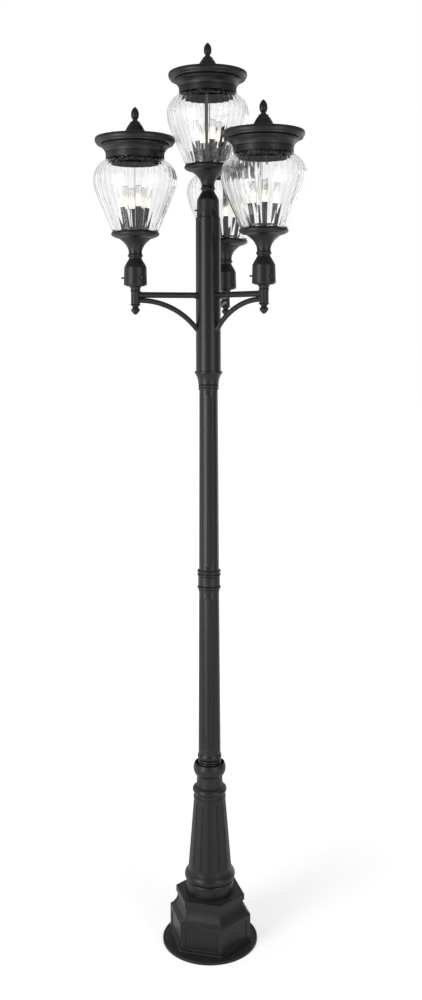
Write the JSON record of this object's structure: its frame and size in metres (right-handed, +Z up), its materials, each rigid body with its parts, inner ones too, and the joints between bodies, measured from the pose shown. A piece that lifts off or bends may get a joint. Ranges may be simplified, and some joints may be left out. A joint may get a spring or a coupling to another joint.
{
  "type": "post light",
  "caption": "Tall fluted post light on a hexagonal cast base, with urn-shaped glass lanterns on curved arms and one on top",
  "frame": {"origin": "centre of the base plate's underside, on the post's axis", "axes": "+Z up along the post, +Y towards the arm at the back, +X to the right of it"},
  "size_m": [0.8666, 0.7961, 3.6686],
  "materials": {
    "black_metal": "satin black powder coat over castings and tube",
    "clear_glass": "clear blown glass with fine optic ribs",
    "lamp_glass": "clear lamp glass, lit warm",
    "lamp_cap_metal": "plain lamp cap",
    "candle_plastic": "matt black sleeve",
    "screw_steel": "blackened steel",
    "rod_steel": "plain threaded rod"
  },
  "bodies": {
    "post": {"base_plate": "black_metal", "hex_pedestal": "black_metal", "tapered_shaft": "black_metal", "socket_collar": "black_metal", "lower_pole": "black_metal", "pole_coupler": "black_metal", "pole_sleeves": "black_metal", "upper_pole": "black_metal", "top_cup": "black_metal", "arm_column": "black_metal", "column_cap": "black_metal", "arm_back": "black_metal", "arm_left": "black_metal", "arm_right": "black_metal", "arm_tenons": "black_metal", "drop_finials": "black_metal"},
    "head_top": {"fitter_top": "black_metal", "set_screws_top": "screw_steel", "glass_holder_top": "black_metal", "socket_pan_top": "black_metal", "centre_rod_top": "rod_steel", "candles_top": "candle_plastic"},
    "glass_top": {"glass_shade_top": "clear_glass"},
    "roof_cap_top": {"roof_top": "black_metal"},
    "finial_top": {"acorn_finial_top": "black_metal"},
    "lamp_set_top": {"lamps_top": "lamp_glass", "lamp_caps_top": "lamp_cap_metal"},
    "head_left": {"fitter_left": "black_metal", "set_screws_left": "screw_steel", "glass_holder_left": "black_metal", "socket_pan_left": "black_metal", "centre_rod_left": "rod_steel", "candles_left": "candle_plastic"},
    "glass_left": {"glass_shade_left": "clear_glass"},
    "roof_cap_left": {"roof_left": "black_metal"},
    "finial_left": {"acorn_finial_left": "black_metal"},
    "lamp_set_left": {"lamps_left": "lamp_glass", "lamp_caps_left": "lamp_cap_metal"},
    "head_right": {"fitter_right": "black_metal", "set_screws_right": "screw_steel", "glass_holder_right": "black_metal", "socket_pan_right": "black_metal", "centre_rod_right": "rod_steel", "candles_right": "candle_plastic"},
    "glass_right": {"glass_shade_right": "clear_glass"},
    "roof_cap_right": {"roof_right": "black_metal"},
    "finial_right": {"acorn_finial_right": "black_metal"},
    "lamp_set_right": {"lamps_right": "lamp_glass", "lamp_caps_right": "lamp_cap_metal"},
    "head_back": {"fitter_back": "black_metal", "set_screws_back": "screw_steel", "glass_holder_back": "black_metal", "socket_pan_back": "black_metal", "centre_rod_back": "rod_steel", "candles_back": "candle_plastic"},
    "glass_back": {"glass_shade_back": "clear_glass"},
    "roof_cap_back": {"roof_back": "black_metal"},
    "finial_back": {"acorn_finial_back": "black_metal"},
    "lamp_set_back": {"lamps_back": "lamp_glass", "lamp_caps_back": "lamp_cap_metal"}
  },
  "joints": [
    {"name": "head_turn_top", "type": "hinge", "parent": "post", "child": "head_top", "pos_m": [0, 0, 2.95], "axis": [0, 0, 1], "continuous": true},
    {"name": "roof_lift_top", "type": "slide", "parent": "head_top", "child": "roof_cap_top", "axis": [0, 0, 1], "range_m": [0, 0.8]},
    {"name": "glass_lift_top", "type": "slide", "parent": "head_top", "child": "glass_top", "axis": [0, 0, 1], "range_m": [0, 0.68]},
    {"name": "finial_spin_top", "type": "hinge", "parent": "roof_cap_top", "child": "finial_top", "pos_m": [0, 0, 3.61], "axis": [0, 0, 1], "continuous": true},
    {"name": "lamps_out_top", "type": "slide", "parent": "head_top", "child": "lamp_set_top", "axis": [0, 0, 1], "range_m": [0, 0.024]},
    {"name": "head_turn_left", "type": "hinge", "parent": "post", "child": "head_left", "pos_m": [-0.26327, -0.152, 2.67], "axis": [0, 0, 1], "continuous": true},
    {"name": "roof_lift_left", "type": "slide", "parent": "head_left", "child": "roof_cap_left", "axis": [0, 0, 1], "range_m": [0, 0.63]},
    {"name": "glass_lift_left", "type": "slide", "parent": "head_left", "child": "glass_left", "axis": [0, 0, 1], "range_m": [0, 0.48]},
    {"name": "finial_spin_left", "type": "hinge", "parent": "roof_cap_left", "child": "finial_left", "pos_m": [-0.26327, -0.152, 3.33], "axis": [0, 0, 1], "continuous": true},
    {"name": "lamps_out_left", "type": "slide", "parent": "head_left", "child": "lamp_set_left", "axis": [0, 0, 1], "range_m": [0, 0.024]},
    {"name": "head_turn_right", "type": "hinge", "parent": "post", "child": "head_right", "pos_m": [0.26327, -0.152, 2.67], "axis": [0, 0, 1], "continuous": true},
    {"name": "roof_lift_right", "type": "slide", "parent": "head_right", "child": "roof_cap_right", "axis": [0, 0, 1], "range_m": [0, 0.63]},
    {"name": "glass_lift_right", "type": "slide", "parent": "head_right", "child": "glass_right", "axis": [0, 0, 1], "range_m": [0, 0.48]},
    {"name": "finial_spin_right", "type": "hinge", "parent": "roof_cap_right", "child": "finial_right", "pos_m": [0.26327, -0.152, 3.33], "axis": [0, 0, 1], "continuous": true},
    {"name": "lamps_out_right", "type": "slide", "parent": "head_right", "child": "lamp_set_right", "axis": [0, 0, 1], "range_m": [0, 0.024]},
    {"name": "head_turn_back", "type": "hinge", "parent": "post", "child": "head_back", "pos_m": [0, 0.304, 2.67], "axis": [0, 0, 1], "continuous": true},
    {"name": "roof_lift_back", "type": "slide", "parent": "head_back", "child": "roof_cap_back", "axis": [0, 0, 1], "range_m": [0, 0.63]},
    {"name": "glass_lift_back", "type": "slide", "parent": "head_back", "child": "glass_back", "axis": [0, 0, 1], "range_m": [0, 0.48]},
    {"name": "finial_spin_back", "type": "hinge", "parent": "roof_cap_back", "child": "finial_back", "pos_m": [0, 0.304, 3.33], "axis": [0, 0, 1], "continuous": true},
    {"name": "lamps_out_back", "type": "slide", "parent": "head_back", "child": "lamp_set_back", "axis": [0, 0, 1], "range_m": [0, 0.024]}
  ],
  "couplings": [
    {"joint": "glass_lift_top", "follows": "roof_lift_top", "ratio": 0.85},
    {"joint": "glass_lift_left", "follows": "roof_lift_top", "ratio": 0.6},
    {"joint": "roof_lift_left", "follows": "roof_lift_top", "ratio": 0.78},
    {"joint": "glass_lift_right", "follows": "roof_lift_top", "ratio": 0.6},
    {"joint": "roof_lift_right", "follows": "roof_lift_top", "ratio": 0.78},
    {"joint": "glass_lift_back", "follows": "roof_lift_top", "ratio": 0.6},
    {"joint": "roof_lift_back", "follows": "roof_lift_top", "ratio": 0.78}
  ]
}
